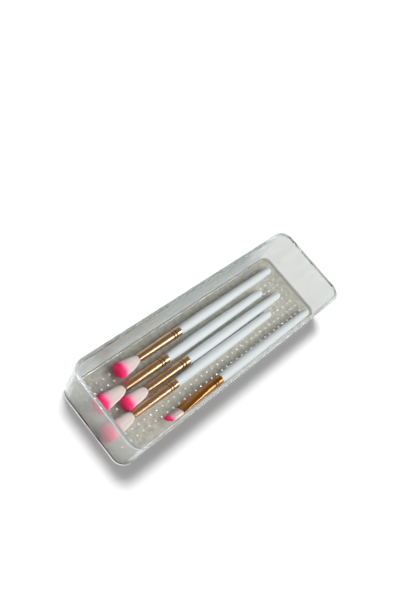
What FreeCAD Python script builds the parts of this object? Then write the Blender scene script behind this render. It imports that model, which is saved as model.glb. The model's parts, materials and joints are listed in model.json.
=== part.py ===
import FreeCAD, Part
import math
import os
import Sketcher
from FreeCAD import Vector

# An open clear tray that holds five make-up brushes, each lying loose and free to be lifted out.
#
# Frame: origin under the middle of the base, +Z up, +X along the tray towards the handle ends,
# +Y across it. Every brush lies along X with its hair towards -X.
# Sizes are millimetres, or degrees where the name ends in _angle.

ALL_BRUSHES = (1, 2, 3, 4, 5)
ROUND_BRUSHES = (1, 2, 3, 4)
FLAT_BRUSH = 5

SIZES = (
    # the tray: one moulding with drafted walls
    ("tray_length", 250.0),
    ("tray_width", 80.0),
    ("tray_height", 44.0),
    ("tray_corner_radius", 11.8),
    ("tray_draft_angle", 1.5),
    ("tray_wall", 3.0),
    ("tray_floor", 3.0),
    ("base_edge_round", 2.0),
    ("floor_edge_round", 1.6),
    ("rim_edge_round", 0.7),
    # the wooden handle: a tenon, a belly a little past the shoulder, and a slimmer rounded tail
    ("handle_shoulder_diameter", 8.2),
    ("handle_belly_diameter", 8.9),
    ("handle_belly_from_shoulder", 22.0),
    ("handle_tail_diameter", 6.8),
    ("handle_tail_round", 4.6),
    ("tenon_length", 13.0),
    # the ferrule: a thin drawn tube, straight where it grips the tenon, then tapering to its mouth
    ("ferrule_length", 48.0),
    ("ferrule_grip_length", 16.0),
    ("ferrule_shoulder_diameter", 8.2),
    ("ferrule_mouth_diameter", 6.8),
    ("ferrule_wall", 0.45),
    ("flat_mouth_width", 10.0),
    ("flat_mouth_thickness", 3.6),
    # two rings rolled into the ferrule and the tenon, measured back from the shoulder
    ("crimp_near_from_shoulder", 5.8),
    ("crimp_far_from_shoulder", 8.8),
    ("crimp_width", 1.6),
    ("crimp_depth", 0.25),
    # what the ferrule holds
    ("hair_root_length", 10.0),
    ("glue_length", 5.0),
    ("fit_clearance", 0.05),
    # the hair heads
    ("hair_bulge_length", 3.5),
    ("hair_bulge_radius", 4.7),
    ("head_widest_share", 0.8),
    ("head_tip_step", 2.2),
    ("head_edge_round", 2.0),
    ("brush_1_hair_length", 22.7),
    ("brush_2_hair_length", 26.4),
    ("brush_3_hair_length", 23.8),
    ("brush_4_hair_length", 26.4),
    ("brush_5_hair_length", 14.4),
    ("brush_1_head_radius", 6.8),
    ("brush_2_head_radius", 7.2),
    ("brush_3_head_radius", 6.1),
    ("brush_4_head_radius", 6.9),
    ("flat_head_width", 8.8),
    ("flat_head_tip_width", 7.6),
    ("flat_head_thickness", 3.8),
    ("flat_head_tip_thickness", 1.2),
    # how the brushes lie: clearances to the floor and each other, and each one's place and turn
    ("seat_clearance", 0.3),
    ("brush_clearance", 0.3),
    ("wall_clearance", 0.6),
    ("brush_end_play", 42.5),
    ("row_side_share", 0.413),
    ("lane_room_1_to_2", 2.1),
    ("brush_1_tip_gap", 38.2),
    ("brush_2_tip_gap", 8.5),
    ("brush_3_tip_gap", 25.8),
    ("brush_4_tip_gap", 0.6),
    ("brush_5_tip_gap", 48.4),
    ("brush_1_yaw_angle", 0.1),
    ("brush_2_yaw_angle", 0.1),
    ("brush_3_yaw_angle", 0.05),
    ("brush_4_yaw_angle", 0.3),
    ("brush_5_yaw_angle", 0.05),
    ("flat_roll_angle", -38.0),
)

doc = FreeCAD.newDocument("brush_tray")
sheet = doc.addObject("Spreadsheet::Sheet", "sizes")
for row, (alias, number) in enumerate(SIZES, start=1):
    sheet.set("A%d" % row, alias)
    sheet.set("B%d" % row, str(number))
    sheet.setAlias("B%d" % row, alias)
doc.recompute()


def expression(text, **names):
    """Write names such as {n} into the text, and point every bare size at the sheet."""
    for name, replacement in names.items():
        text = text.replace("{%s}" % name, str(replacement))
    for alias, _ in sorted(SIZES, key=lambda size: -len(size[0])):
        text = text.replace("[" + alias + "]", "sizes." + alias)
    return text


def value(text):
    """The number that an expression has now."""
    result = sheet.evalExpression(text)
    return float(getattr(result, "Value", result))


# ---- sizes that follow from the sheet ------------------------------------------------------

# how far a wall comes in between the rim and the floor, and what is left at floor level
DRAFT_AT_FLOOR = "([tray_height] - [tray_floor]) * tan([tray_draft_angle])"
INNER_HALF_LENGTH = "([tray_length] / 2 - [tray_wall] - " + DRAFT_AT_FLOOR + ")"
INNER_HALF_WIDTH = "([tray_width] / 2 - [tray_wall] - " + DRAFT_AT_FLOOR + ")"

# the handle takes the length that the tray leaves to the longest brush
LONGEST_HAIR = "max([brush_1_hair_length]; [brush_2_hair_length]; [brush_3_hair_length]; [brush_4_hair_length])"
HANDLE_LENGTH = (
    "(2 * " + INNER_HALF_LENGTH + " - [brush_end_play] - [ferrule_length] - " + LONGEST_HAIR + ")"
)
BELLY_RADIUS = "[handle_belly_diameter] / 2"
TAIL_RADIUS = "[handle_tail_diameter] / 2"

# the ferrule's bore: straight over the grip, then narrowing to the mouth
GRIP_START = "([ferrule_length] - [ferrule_grip_length])"
GRIP_BORE = "([ferrule_shoulder_diameter] / 2 - [ferrule_wall])"
MOUTH_BORE = "([ferrule_mouth_diameter] / 2 - [ferrule_wall])"
FLAT_BORE_WIDE = "([flat_mouth_width] / 2 - [ferrule_wall])"
FLAT_BORE_THIN = "([flat_mouth_thickness] / 2 - [ferrule_wall])"
GLUE_END = "([hair_root_length] + [glue_length])"


def bore_at(distance, mouth):
    """Inside half-size of the tapering tube, at a distance from the mouth."""
    return "(%s + (%s - %s) * %s / %s)" % (mouth, GRIP_BORE, mouth, distance, GRIP_START)


# where the brushes lie across the tray: one to four as a row, the flat one along the near wall
# each lane also keeps the bellies of two neighbouring handles apart
HANDLES_APART = "([handle_belly_diameter] + [brush_clearance])"
LANE_1_TO_2 = (
    "max([brush_1_head_radius] + [ferrule_shoulder_diameter] / 2 + [lane_room_1_to_2]; "
    + HANDLES_APART + ")"
)
LANE_2_TO_3 = (
    "max([brush_3_head_radius] + [hair_bulge_radius] + [brush_clearance]; "
    + HANDLES_APART + ")"
)
LANE_3_TO_4 = (
    "max([brush_3_head_radius] + [ferrule_mouth_diameter] / 2 + [brush_clearance]; "
    + HANDLES_APART + ")"
)
ROW_WIDTH = (
    "([brush_1_head_radius] + " + LANE_1_TO_2 + " + " + LANE_2_TO_3 + " + " + LANE_3_TO_4
    + " + " + BELLY_RADIUS + ")"
)
FLAT_LANE_WIDTH = "([wall_clearance] + [handle_belly_diameter])"
FREE_WIDTH = "(2 * " + INNER_HALF_WIDTH + " - " + ROW_WIDTH + " - " + FLAT_LANE_WIDTH + ")"
LANE_1 = (
    "(" + INNER_HALF_WIDTH + " - [row_side_share] * " + FREE_WIDTH + " - [brush_1_head_radius])"
)
LANES = {
    1: LANE_1,
    2: "(" + LANE_1 + " - " + LANE_1_TO_2 + ")",
    3: "(" + LANE_1 + " - " + LANE_1_TO_2 + " - " + LANE_2_TO_3 + ")",
    4: "(" + LANE_1 + " - " + LANE_1_TO_2 + " - " + LANE_2_TO_3 + " - " + LANE_3_TO_4 + ")",
    5: "(-" + INNER_HALF_WIDTH + " + [wall_clearance] + " + BELLY_RADIUS + ")",
}

# a round brush rests on the widest ring of its head and on its tail, pitched up further where
# a thick belly would touch the floor first; the flat one rests on its belly and its tail
TAIL_REST = "([ferrule_length] + " + HANDLE_LENGTH + " - [handle_tail_round])"
HEAD_REST = "(-[head_widest_share] * [brush_{n}_hair_length])"
BELLY_REST = "([ferrule_length] + [handle_belly_from_shoulder])"
PITCH = "atan(({r} - " + TAIL_RADIUS + ") / (" + TAIL_REST + " - {x}))"


def brush_frame(number):
    """The expression for a brush's own frame: origin at the ferrule's mouth, +X to the tail."""
    on_belly = PITCH.replace("{r}", BELLY_RADIUS).replace("{x}", BELLY_REST)
    if number == FLAT_BRUSH:
        pitch, roll = on_belly, "[flat_roll_angle]"
    else:
        on_head = PITCH.replace("{r}", "[brush_{n}_head_radius]").replace("{x}", HEAD_REST)
        pitch, roll = "max(" + on_head + "; " + on_belly + ")", "0"
    along = "-" + INNER_HALF_LENGTH + " + [brush_{n}_tip_gap] + [brush_{n}_hair_length]"
    up = (
        "[tray_floor] + [seat_clearance] + " + TAIL_REST + " * sin(" + pitch + ") + "
        + TAIL_RADIUS + " * cos(" + pitch + ")"
    )
    turn = "rotationz([brush_{n}_yaw_angle]) * rotationy(" + pitch + ") * rotationx(" + roll + ")"
    return expression(
        "placement(vector(" + along + "; " + LANES[number] + "; " + up + "); " + turn + ")",
        n=number,
    )


# ---- small helpers -------------------------------------------------------------------------


def origin_plane(body, role):
    return [feature for feature in body.Origin.OriginFeatures if feature.Role == role][0]


def new_body(label):
    body = doc.addObject("PartDesign::Body", label)
    body.Label = label
    return body


def new_sketch(body, name, role, offset=None):
    """A sketch on one of the body's own planes, moved along its normal by an expression."""
    sketch = body.newObject("Sketcher::SketchObject", name)
    sketch.AttachmentSupport = [(origin_plane(body, role), "")]
    sketch.MapMode = "FlatFace"
    if offset is not None:
        sketch.setExpression("AttachmentOffset.Base.z", expression(offset))
    return sketch


def bind_last(sketch, text):
    """Tie the newest constraint of a sketch to an expression."""
    sketch.setExpression("Constraints[%d]" % (sketch.ConstraintCount - 1), expression(text))


def pin_vertex(sketch, edge, across, up):
    """Hold the start of an edge at two distances from the sketch's origin."""
    for kind, axis, text in (("DistanceX", -2, across), ("DistanceY", -1, up)):
        if text == "0":
            sketch.addConstraint(Sketcher.Constraint("PointOnObject", edge, 1, axis))
            continue
        number = value(expression(text))
        sketch.addConstraint(Sketcher.Constraint(kind, -1, 1, edge, 1, number))
        bind_last(sketch, text)


def rising_arc(start, end, centre_x):
    """The arc between two points whose centre stands on the line x = centre_x."""
    lift = (start.x - centre_x) ** 2 + start.y ** 2 - (end.x - centre_x) ** 2 - end.y ** 2
    centre = Vector(centre_x, lift / (2 * (start.y - end.y)), 0)
    radius = (start - centre).Length
    circle = Part.Circle(centre, Vector(0, 0, 1), radius)
    return Part.ArcOfCircle(circle, circle.parameter(end), circle.parameter(start))


def draw_profile(sketch, points):
    """A closed outline. Each point is (x, y), or (x, y, c) where an arc with its centre on
    x = c leads to the next point. The outline runs clockwise, so an arc bulges outwards."""
    places = [Vector(value(expression(p[0])), value(expression(p[1])), 0) for p in points]
    count = len(points)
    arcs = []
    for i, point in enumerate(points):
        after = places[(i + 1) % count]
        if len(point) == 3:
            sketch.addGeometry(rising_arc(places[i], after, value(expression(point[2]))), False)
            arcs.append(i)
        else:
            sketch.addGeometry(Part.LineSegment(places[i], after), False)
    for i in range(count):
        j = (i + 1) % count
        end_of_i = 1 if i in arcs else 2
        start_of_j = 2 if j in arcs else 1
        sketch.addConstraint(Sketcher.Constraint("Coincident", i, end_of_i, j, start_of_j))
    for i, point in enumerate(points):
        if i in arcs:
            number = value(expression(point[2]))
            sketch.addConstraint(Sketcher.Constraint("DistanceX", -1, 1, i, 3, number))
            bind_last(sketch, point[2])
            continue
        pin_vertex(sketch, i, point[0], point[1])
    for i in arcs:
        # an arc's first point is held as the end of the line before it, or, where another arc
        # comes before, as its own
        before = (i - 1) % count
        held = i if before in arcs else before
        for kind, text in (("DistanceX", points[i][0]), ("DistanceY", points[i][1])):
            number = value(expression(text))
            sketch.addConstraint(Sketcher.Constraint(kind, -1, 1, held, 2, number))
            bind_last(sketch, text)
    return sketch


def revolve(body, points):
    """Turn a closed outline in the XZ plane about the body's X axis."""
    sketch = draw_profile(new_sketch(body, body.Name + "_outline", "XZ_Plane"), points)
    turned = body.newObject("PartDesign::Revolution", body.Name + "_turned")
    turned.Profile = sketch
    turned.ReferenceAxis = (sketch, ["H_Axis"])
    turned.Angle = 360
    doc.recompute()
    return turned


def draw_rounded_rectangle(sketch, length, width, radius):
    """A rectangle about the sketch's origin with four equal round corners."""
    half_x, half_y, r = (value(expression(text)) for text in (length, width, radius))
    half_x, half_y = half_x / 2, half_y / 2
    up = Vector(0, 0, 1)
    corners = ((1, 1, 0), (-1, 1, 90), (-1, -1, 180), (1, -1, 270))
    for side_x, side_y, start in corners:
        centre = Vector(side_x * (half_x - r), side_y * (half_y - r), 0)
        circle = Part.Circle(centre, up, r)
        begin, end = math.radians(start), math.radians(start + 90)
        sketch.addGeometry(Part.ArcOfCircle(circle, begin, end), False)
    ends = [(sketch.getPoint(i, 2), sketch.getPoint((i + 1) % 4, 1)) for i in range(4)]
    for start, end in ends:
        sketch.addGeometry(Part.LineSegment(start, end), False)
    for i in range(4):
        sketch.addConstraint(Sketcher.Constraint("Tangent", i, 2, 4 + i, 1))
        sketch.addConstraint(Sketcher.Constraint("Tangent", 4 + i, 2, (i + 1) % 4, 1))
    for i in (1, 2, 3):
        sketch.addConstraint(Sketcher.Constraint("Equal", 0, i))
    sketch.addConstraint(Sketcher.Constraint("Horizontal", 4))
    sketch.addConstraint(Sketcher.Constraint("Symmetric", 0, 3, 2, 3, -1, 1))
    sketch.addConstraint(Sketcher.Constraint("Radius", 0, r))
    bind_last(sketch, radius)
    sketch.addConstraint(Sketcher.Constraint("DistanceX", 1, 3, 0, 3, 2 * (half_x - r)))
    bind_last(sketch, "%s - 2 * %s" % (length, radius))
    sketch.addConstraint(Sketcher.Constraint("DistanceY", 3, 3, 0, 3, 2 * (half_y - r)))
    bind_last(sketch, "%s - 2 * %s" % (width, radius))
    return sketch


def draw_circle(sketch, radius):
    number = value(expression(radius))
    sketch.addGeometry(Part.Circle(Vector(0, 0, 0), Vector(0, 0, 1), number), False)
    sketch.addConstraint(Sketcher.Constraint("Coincident", 0, 3, -1, 1))
    sketch.addConstraint(Sketcher.Constraint("Radius", 0, number))
    bind_last(sketch, radius)
    return sketch


def draw_ellipse(sketch, half_wide, half_thin):
    """An ellipse about the origin, its long axis across the sketch."""
    wide, thin = value(expression(half_wide)), value(expression(half_thin))
    ellipse = Part.Ellipse(Vector(wide, 0, 0), Vector(0, thin, 0), Vector(0, 0, 0))
    sketch.addGeometry(ellipse, False)
    sketch.exposeInternalGeometry(0)
    long_axis, short_axis = 1, 2
    sketch.addConstraint(Sketcher.Constraint("Coincident", 0, 3, -1, 1))
    sketch.addConstraint(Sketcher.Constraint("Horizontal", long_axis))
    sketch.addConstraint(Sketcher.Constraint("Distance", long_axis, 2 * wide))
    bind_last(sketch, "2 * " + half_wide)
    sketch.addConstraint(Sketcher.Constraint("Distance", short_axis, 2 * thin))
    bind_last(sketch, "2 * " + half_thin)
    return sketch


def edges_where(shape, test):
    return ["Edge%d" % (i + 1) for i, edge in enumerate(shape.Edges) if test(edge)]


def round_edges(body, name, base, test, radius):
    """Fillet every edge of the base feature that passes the test."""
    fillet = body.newObject("PartDesign::Fillet", name)
    fillet.Base = (base, edges_where(base.Shape, test))
    fillet.setExpression("Radius", expression(radius))
    doc.recompute()
    return fillet


SAME_LEVEL = 0.01  # mm, how near an edge's box comes to its true level


def lies_at(axis, level):
    """A test for edges that lie wholly at one level of an axis of their body."""

    def test(edge):
        box = edge.BoundBox
        low, high = getattr(box, axis + "Min"), getattr(box, axis + "Max")
        return abs(low - level) < SAME_LEVEL and abs(high - level) < SAME_LEVEL

    return test


# ---- the tray ------------------------------------------------------------------------------


def make_tray():
    """One clear moulding: the outside is drawn at the rim and drafted down to the base, and the
    cavity follows it one wall in."""
    tray = new_body("tray")
    rim = new_sketch(tray, "tray_rim_outline", "XY_Plane", "[tray_height]")
    draw_rounded_rectangle(rim, "[tray_length]", "[tray_width]", "[tray_corner_radius]")
    block = tray.newObject("PartDesign::Pad", "tray_outside")
    block.Profile = rim
    block.Reversed = True
    block.setExpression("Length", expression("[tray_height]"))
    block.setExpression("TaperAngle", expression("-[tray_draft_angle]"))
    doc.recompute()

    mouth = new_sketch(tray, "tray_mouth_outline", "XY_Plane", "[tray_height]")
    draw_rounded_rectangle(
        mouth,
        "([tray_length] - 2 * [tray_wall])",
        "([tray_width] - 2 * [tray_wall])",
        "([tray_corner_radius] - [tray_wall])",
    )
    cavity = tray.newObject("PartDesign::Pocket", "tray_cavity")
    cavity.Profile = mouth
    cavity.setExpression("Length", expression("[tray_height] - [tray_floor]"))
    cavity.setExpression("TaperAngle", expression("-[tray_draft_angle]"))
    doc.recompute()

    height, floor = value("sizes.tray_height"), value("sizes.tray_floor")
    foot = round_edges(tray, "tray_foot", cavity, lies_at("Z", 0.0), "[base_edge_round]")
    inner = round_edges(tray, "tray_inner_foot", foot, lies_at("Z", floor), "[floor_edge_round]")
    rounded = round_edges(tray, "tray_rim", inner, lies_at("Z", height), "[rim_edge_round]")
    tray.Tip = rounded
    return tray


# ---- the pieces of a brush -----------------------------------------------------------------


def ring_steps(centre, radius, width, depth):
    """Four outline points that step a rolled ring into a turned surface."""
    floor = "(%s - %s)" % (radius, depth)
    return [
        ("(%s - %s / 2)" % (centre, width), radius),
        ("(%s - %s / 4)" % (centre, width), floor),
        ("(%s + %s / 4)" % (centre, width), floor),
        ("(%s + %s / 2)" % (centre, width), radius),
    ]


def make_handle(number):
    """Turned wood, lacquered: its tenon carries the two grooves that the ferrule is rolled into."""
    tenon = "(" + GRIP_BORE + " - [fit_clearance])"
    groove = "([crimp_width] + 4 * [fit_clearance])"
    shoulder = "([handle_shoulder_diameter] / 2)"
    length = HANDLE_LENGTH
    points = [("-[tenon_length]", "0"), ("-[tenon_length]", tenon)]
    points += ring_steps("-[crimp_far_from_shoulder]", tenon, groove, "[crimp_depth]")
    points += ring_steps("-[crimp_near_from_shoulder]", tenon, groove, "[crimp_depth]")
    points += [
        ("0", tenon),
        ("0", shoulder, "[handle_belly_from_shoulder]"),
        ("[handle_belly_from_shoulder]", "(" + BELLY_RADIUS + ")"),
        (
            "(" + length + " - [handle_tail_round])",
            "(" + TAIL_RADIUS + ")",
            "(" + length + " - [handle_tail_round])",
        ),
        (length, "0"),
    ]
    body = new_body("brush_%d_handle" % number)
    revolve(body, points)
    return body


def grip_outline():
    """The straight end of a ferrule: outside with its two rolled rings, then back along the bore."""
    outside = "([ferrule_shoulder_diameter] / 2)"
    end = "[ferrule_length]"
    near = "([ferrule_length] - [crimp_near_from_shoulder])"
    far = "([ferrule_length] - [crimp_far_from_shoulder])"
    width, depth = "[crimp_width]", "[crimp_depth]"
    out = ring_steps(far, outside, width, depth) + ring_steps(near, outside, width, depth)
    back = ring_steps(far, GRIP_BORE, width, depth) + ring_steps(near, GRIP_BORE, width, depth)
    return [(GRIP_START, outside)] + out + [(end, outside), (end, GRIP_BORE)] + back[::-1]


def make_round_ferrule(number):
    """A seamless drawn tube that tapers to a round mouth."""
    body = new_body("brush_%d_ferrule" % number)
    mouth = [("0", "([ferrule_mouth_diameter] / 2)")]
    revolve(body, mouth + grip_outline() + [(GRIP_START, GRIP_BORE), ("0", MOUTH_BORE)])
    return body


def section(body, name, distance, draw, *sizes):
    sketch = new_sketch(body, body.Name + "_" + name, "YZ_Plane", distance)
    return draw(sketch, *sizes)


def loft(body, name, sections, kind="PartDesign::AdditiveLoft"):
    feature = body.newObject(kind, body.Name + "_" + name)
    feature.Profile = sections[0]
    feature.Sections = sections[1:]
    feature.Ruled = True
    doc.recompute()
    return feature


def make_flat_ferrule(number):
    """The same tube with its mouth pressed flat: round at the grip, an ellipse at the mouth."""
    body = new_body("brush_%d_ferrule" % number)
    revolve(body, grip_outline() + [(GRIP_START, GRIP_BORE)])
    outside = [
        section(body, "round_out", GRIP_START, draw_circle, "([ferrule_shoulder_diameter] / 2)"),
        section(
            body, "mouth_out", "0", draw_ellipse,
            "([flat_mouth_width] / 2)", "([flat_mouth_thickness] / 2)",
        ),
    ]
    loft(body, "pressed_out", outside)
    inside = [
        section(body, "round_in", GRIP_START, draw_circle, GRIP_BORE),
        section(body, "mouth_in", "0", draw_ellipse, FLAT_BORE_WIDE, FLAT_BORE_THIN),
    ]
    body.Tip = loft(body, "pressed_in", inside, "PartDesign::SubtractiveLoft")
    return body


def make_round_hair(number):
    """Hair bundle: a root that fills the ferrule's mouth, and a head that flares to a blunt tip."""
    n = str(number)
    length, radius = "[brush_" + n + "_hair_length]", "[brush_" + n + "_head_radius]"
    clear = " - [fit_clearance])"
    body = new_body("brush_%d_hair" % number)
    turned = revolve(body, [
        ("(-" + length + ")", "0"),
        ("(-" + length + ")", "(" + radius + " - [head_tip_step])"),
        ("(-" + length + " * [head_widest_share])", radius),
        ("(-[hair_bulge_length])", "[hair_bulge_radius]"),
        ("0", "(" + MOUTH_BORE + clear),
        ("[hair_root_length]", "(" + bore_at("[hair_root_length]", MOUTH_BORE) + clear),
        ("[hair_root_length]", "0"),
    ])
    hair = value(expression(length))
    widest = hair * value("sizes.head_widest_share")
    shoulder = round_edges(
        body, body.Name + "_shoulder", turned, lies_at("X", -widest), "[head_edge_round]"
    )
    tip = round_edges(body, body.Name + "_tip", shoulder, lies_at("X", -hair), "[head_edge_round]")
    body.Tip = tip
    return body


def make_flat_hair(number):
    """The flat brush's bundle: thick at the mouth and thin at its tip."""
    length = "[brush_%d_hair_length]" % number
    root = "[hair_root_length]"
    clear = " - [fit_clearance])"
    body = new_body("brush_%d_hair" % number)
    sections = [
        section(
            body, "root_back", root, draw_ellipse,
            "(" + bore_at(root, FLAT_BORE_WIDE) + clear, "(" + bore_at(root, FLAT_BORE_THIN) + clear,
        ),
        section(
            body, "root_front", "0", draw_ellipse,
            "(" + FLAT_BORE_WIDE + clear, "(" + FLAT_BORE_THIN + clear,
        ),
        section(
            body, "middle", "-" + length + " / 2", draw_ellipse,
            "([flat_head_width] / 2)", "([flat_head_thickness] / 2)",
        ),
        section(
            body, "tip", "-" + length, draw_ellipse,
            "([flat_head_tip_width] / 2)", "([flat_head_tip_thickness] / 2)",
        ),
    ]
    body.Tip = loft(body, "bundle", sections)
    return body


def make_round_glue(number):
    """Epoxy plug behind the hair root, cast to the tapering bore."""
    root, end = "[hair_root_length]", GLUE_END
    clear = " - [fit_clearance])"
    body = new_body("brush_%d_glue_plug" % number)
    revolve(body, [
        (root, "0"),
        (root, "(" + bore_at(root, MOUTH_BORE) + clear),
        (end, "(" + bore_at(end, MOUTH_BORE) + clear),
        (end, "0"),
    ])
    return body


def make_flat_glue(number):
    """Epoxy behind the flat brush's hair: a slice of the bore, from round towards flat."""
    clear = " - [fit_clearance])"
    body = new_body("brush_%d_glue_plug" % number)
    ends = []
    for name, distance in (("front", "[hair_root_length]"), ("back", GLUE_END)):
        wide, thin = bore_at(distance, FLAT_BORE_WIDE), bore_at(distance, FLAT_BORE_THIN)
        sizes = ("(" + wide + clear, "(" + thin + clear)
        ends.append(section(body, name, distance, draw_ellipse, *sizes))
    body.Tip = loft(body, "plug", ends)
    return body


def make_brush(number):
    """The four pieces of one brush, each drawn from the ferrule's mouth and laid in its lane."""
    flat = number == FLAT_BRUSH
    frame = brush_frame(number)
    at_shoulder = expression(" * placement(vector([ferrule_length]; 0; 0); rotationx(0))")
    ferrule = make_flat_ferrule(number) if flat else make_round_ferrule(number)
    hair = make_flat_hair(number) if flat else make_round_hair(number)
    glue = make_flat_glue(number) if flat else make_round_glue(number)
    handle = make_handle(number)
    for piece in (ferrule, hair, glue):
        piece.setExpression("Placement", frame)
    handle.setExpression("Placement", frame + at_shoulder)
    return [handle, ferrule, hair, glue]


# ---- build, check and write ----------------------------------------------------------------

pieces = [make_tray()]
for brush in ALL_BRUSHES:
    pieces += make_brush(brush)
doc.recompute()

for item in doc.Objects:
    if "Invalid" in item.State or "Error" in item.State:
        raise RuntimeError("%s failed: %s" % (item.Name, item.State))

os.makedirs("parts", exist_ok=True)
for piece in pieces:
    shape = piece.Shape
    if shape.isNull() or not shape.isValid() or len(shape.Solids) != 1:
        raise RuntimeError("%s is not one valid solid" % piece.Label)
    shape.exportStep("parts/%s.step" % piece.Label)
    box = shape.BoundBox
    print("%-20s %9.1f mm3  x %7.2f %7.2f  y %7.2f %7.2f  z %6.2f %6.2f" % (
        piece.Label, shape.Volume, box.XMin, box.XMax, box.YMin, box.YMax, box.ZMin, box.ZMax,
    ))
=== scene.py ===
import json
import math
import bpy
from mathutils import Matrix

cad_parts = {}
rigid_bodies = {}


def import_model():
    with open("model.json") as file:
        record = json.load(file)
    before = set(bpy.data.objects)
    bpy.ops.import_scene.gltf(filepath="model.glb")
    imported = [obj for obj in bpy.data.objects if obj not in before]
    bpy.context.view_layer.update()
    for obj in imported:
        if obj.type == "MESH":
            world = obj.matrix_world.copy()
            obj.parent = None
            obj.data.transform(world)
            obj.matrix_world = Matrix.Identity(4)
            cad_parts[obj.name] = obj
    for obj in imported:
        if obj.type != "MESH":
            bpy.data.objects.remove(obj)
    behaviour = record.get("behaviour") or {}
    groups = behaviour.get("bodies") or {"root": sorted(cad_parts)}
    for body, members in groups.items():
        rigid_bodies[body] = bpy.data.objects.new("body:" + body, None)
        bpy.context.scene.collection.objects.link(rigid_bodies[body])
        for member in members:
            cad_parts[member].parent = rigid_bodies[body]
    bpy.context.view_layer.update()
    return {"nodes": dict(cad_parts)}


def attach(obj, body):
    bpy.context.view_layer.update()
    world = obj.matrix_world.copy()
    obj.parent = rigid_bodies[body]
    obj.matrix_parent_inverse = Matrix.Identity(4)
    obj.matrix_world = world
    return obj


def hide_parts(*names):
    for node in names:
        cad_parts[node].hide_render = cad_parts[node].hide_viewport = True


bl_info = {
    "name": "Make-up brush tray",
    "version": (1, 0, 0),
    "blender": (4, 5, 0),
    "location": "3D View > Sidebar > Brush tray",
    "description": "A clear moulded tray with a dotted floor and five loose make-up brushes",
    "category": "Object",
}

from functools import partial

import bmesh
import bpy
from bpy.props import FloatProperty, FloatVectorProperty, IntProperty, PointerProperty
from mathutils import Matrix, Quaternion, Vector
from mathutils.geometry import tessellate_polygon

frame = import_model()

MM = 0.001
GOLDEN_ANGLE = math.pi * (3 - math.sqrt(5))

# Where names repeat, a node's inputs go by number. A Map Range has its value in 0, the range it
# comes from in 1 and 2 and the one it goes to in 3 and 4, each from 0 to 1 unless it is given.
# A Mix has its share in 0, and an A and a B for each kind of value.
VECTOR_A, VECTOR_B = 4, 5
COLOUR_A, COLOUR_B = 6, 7

# Each brush: where its ferrule's mouth is (mm), how far its tail drops (pitch), how it is turned
# across the tray (yaw) and about its own axis (roll), in degrees, how long its hair is, and a
# round head's radius, both in mm.
BRUSHES = {
    1: {"mouth": (-60.03, 22.02, 9.77), "turn": (0.1, 1.044, 0.0), "hair": 22.7, "head": 6.8},
    2: {"mouth": (-86.03, 9.02, 10.08), "turn": (0.1, 1.149, 0.0), "hair": 26.4, "head": 7.2},
    3: {"mouth": (-71.33, -2.08, 9.13), "turn": (0.05, 0.826, 0.0), "hair": 23.8, "head": 6.1},
    4: {"mouth": (-93.93, -11.88, 9.81), "turn": (0.3, 1.058, 0.0), "hair": 26.4, "head": 6.9},
    5: {"mouth": (-58.13, -30.88, 8.50), "turn": (0.05, 0.612, -38.0), "hair": 14.4},
}
FLAT_BRUSH = 5
# a hair head is widest at this share of its length
WIDEST_PLACE = 0.82

# the tray stands this much clear of the floor, and of the sheet of floor right under it
FLOOR_GAP = 0.2 * MM
SHEET_GAP = 0.15 * MM
# the floor is a disc that reaches this far, in metres
FLOOR_RADIUS = 1.3


# ---- sizes and colours a user would change --------------------------------------------------


def srgb(hex_colour):
    """Linear colour, with alpha, from an sRGB hex string such as 'FF8800'."""
    channels = [int(hex_colour[i : i + 2], 16) / 255 for i in (0, 2, 4)]
    linear = [c / 12.92 if c <= 0.04045 else ((c + 0.055) / 1.055) ** 2.4 for c in channels]
    return (*linear, 1.0)


def length_prop(name, millimetres, description):
    return FloatProperty(
        name=name, description=description, default=millimetres * MM, min=0.0,
        subtype="DISTANCE", unit="LENGTH", precision=5,
    )


def colour_prop(name, hex_colour, description):
    return FloatVectorProperty(
        name=name, description=description, default=srgb(hex_colour), size=4,
        min=0.0, max=1.0, subtype="COLOR",
    )


class BrushTrayTraySizes(bpy.types.PropertyGroup):
    """The clear moulded tray."""

    length: length_prop("Length", 250.0, "Outside length at the rim")
    width: length_prop("Width", 80.0, "Outside width at the rim")
    height: length_prop("Height", 44.0, "From the base to the rim")
    corner: length_prop("Corner radius", 11.8, "Outside corner radius at the rim")
    draft: FloatProperty(
        name="Draft", description="Lean of the walls, which lets the moulding leave its mould",
        default=math.radians(1.5), subtype="ANGLE", unit="ROTATION",
    )
    wall: length_prop("Wall", 3.0, "Wall thickness")
    floor: length_prop("Floor", 3.0, "Floor thickness")
    foot_round: length_prop("Foot round", 2.0, "Round under the base")
    inner_round: length_prop("Inner round", 1.6, "Round where the wall meets the floor")
    rim_round: length_prop("Rim round", 0.7, "Round on both edges of the rim")
    dot_diameter: length_prop("Dot diameter", 2.3, "One raised dot")
    dot_height: length_prop("Dot height", 0.45, "How far a dot stands up")
    dot_pitch_along: length_prop("Dot pitch along", 6.5, "Between dots along the tray")
    dot_pitch_across: length_prop("Dot pitch across", 6.4, "Between dots across the tray")
    dot_columns: IntProperty(
        name="Dot columns", description="Dots along the tray", default=35, min=1
    )
    dot_rows: IntProperty(name="Dot rows", description="Dots across the tray", default=9, min=1)
    tint: colour_prop("Wall tint", "D9DBD8", "What a wall of the clear plastic lets through")
    floor_tint: colour_prop("Floor tint", "C8C7BC", "What the tray's floor lets through")


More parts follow.
